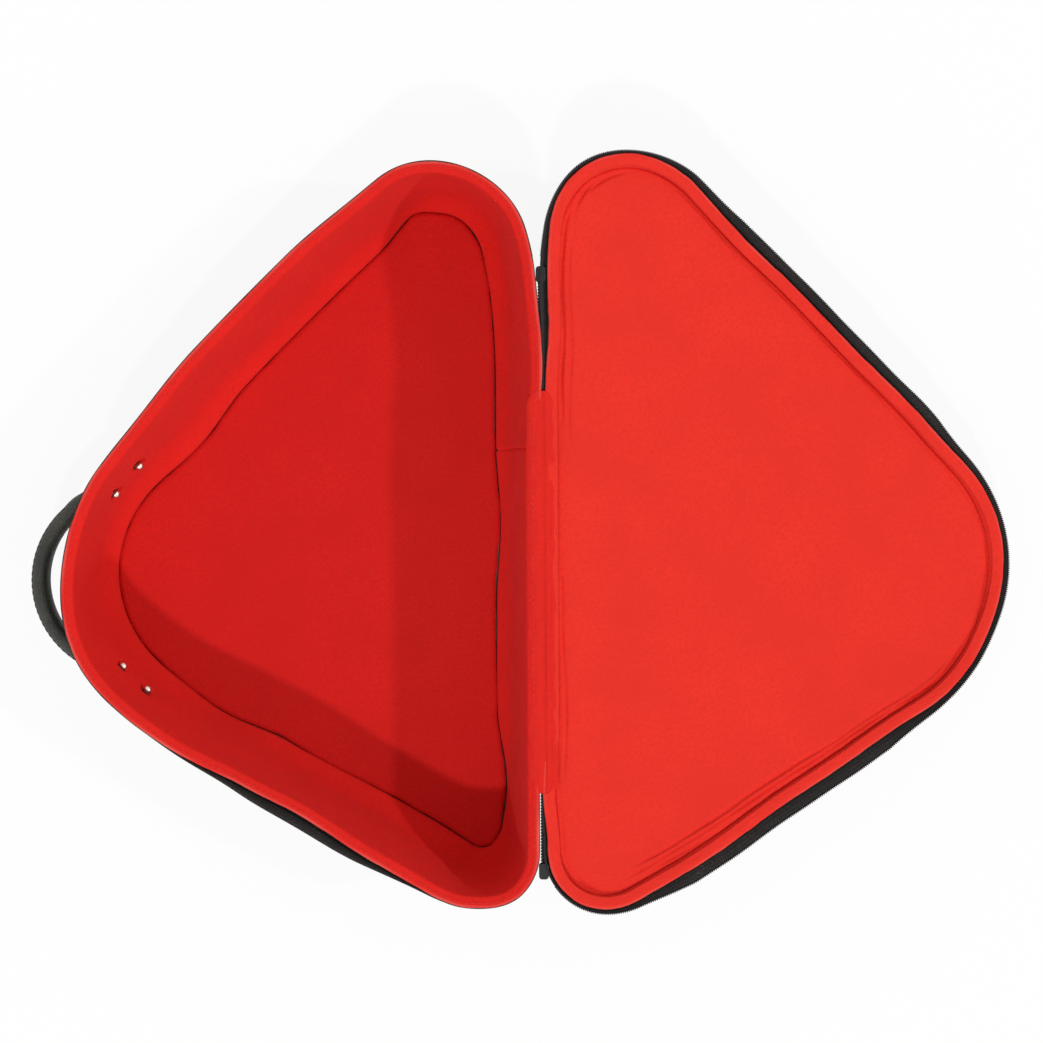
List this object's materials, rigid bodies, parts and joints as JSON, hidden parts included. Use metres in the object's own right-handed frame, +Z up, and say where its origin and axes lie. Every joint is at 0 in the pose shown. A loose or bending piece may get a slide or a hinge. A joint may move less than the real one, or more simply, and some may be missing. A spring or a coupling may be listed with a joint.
{
  "type": "hat case",
  "caption": "Rounded-triangle hat case with a deep base, a shallow padded lid on a cloth hinge, a zip round the rim and a riveted bow handle.",
  "frame": {"origin": "middle of the base's flat bottom, which rests on the floor", "axes": "+X from the handle towards the open lid, +Y along the cloth hinge towards the tighter corner, +Z up"},
  "size_m": [0.6433, 0.495, 0.095],
  "materials": {
    "outer_cloth": "matt woven black synthetic cloth",
    "lining_cloth": "napped red lining cloth",
    "stiff_board": "dull grey fibre board",
    "foam": "soft light grey foam",
    "zip_tape": "black woven tape",
    "zip_coil": "black nylon coil",
    "black_metal": "black painted zinc",
    "piping_cord": "black covered piping",
    "handle_leather": "black grained leatherette",
    "nickel": "bright nickel plate"
  },
  "bodies": {
    "base": {"base_bottom_cover": "outer_cloth", "base_bottom_board": "stiff_board", "base_wall_board": "stiff_board", "base_side_cover": "outer_cloth", "base_piping": "piping_cord", "base_wall_lining": "lining_cloth", "base_floor_pad": "foam", "base_floor_cloth": "lining_cloth", "base_rim_binding": "lining_cloth", "base_zip_tape": "zip_tape", "base_zip_coil": "zip_coil", "base_hinge_lining": "lining_cloth", "base_hinge_tape": "outer_cloth", "handle_strap": "handle_leather", "handle_grip": "handle_leather", "handle_rivets": "nickel", "rivet_washers": "nickel"},
    "lid": {"lid_crown_cover": "outer_cloth", "lid_crown_board": "stiff_board", "lid_wall_board": "stiff_board", "lid_side_cover": "outer_cloth", "lid_piping": "piping_cord", "lid_wall_lining": "lining_cloth", "lid_panel_pad": "foam", "lid_panel_cloth": "lining_cloth", "lid_rim_binding": "lining_cloth", "lid_zip_tape": "zip_tape", "lid_zip_coil": "zip_coil", "lid_hinge_lining": "lining_cloth", "lid_hinge_tape": "outer_cloth"},
    "hinge_fold": {"hinge_fold_tape": "outer_cloth", "zip_end_coil_upper": "zip_coil", "zip_slider_upper": "black_metal", "zip_end_coil_lower": "zip_coil", "zip_slider_lower": "black_metal"},
    "pull_upper": {"zip_pull_upper": "black_metal"},
    "pull_lower": {"zip_pull_lower": "black_metal"}
  },
  "joints": [
    {"name": "lid_hinge", "type": "hinge", "parent": "base", "child": "lid", "pos_m": [0.156, 0, 0.095], "axis": [0, -1, 0], "range_deg": [0, 190.2]},
    {"name": "hinge_fold_turn", "type": "hinge", "parent": "base", "child": "hinge_fold", "pos_m": [0.156, 0, 0.095], "axis": [0, -1, 0], "range_deg": [0, 95.1]},
    {"name": "pull_upper_swing", "type": "hinge", "parent": "hinge_fold", "child": "pull_upper", "pos_m": [0.156, 0.166, 0.0849], "axis": [1, 0, 0], "range_deg": [-80, 80]},
    {"name": "pull_lower_swing", "type": "hinge", "parent": "hinge_fold", "child": "pull_lower", "pos_m": [0.156, -0.215, 0.0849], "axis": [1, 0, 0], "range_deg": [-80, 80]}
  ],
  "couplings": [
    {"joint": "hinge_fold_turn", "follows": "lid_hinge", "ratio": 0.5}
  ]
}
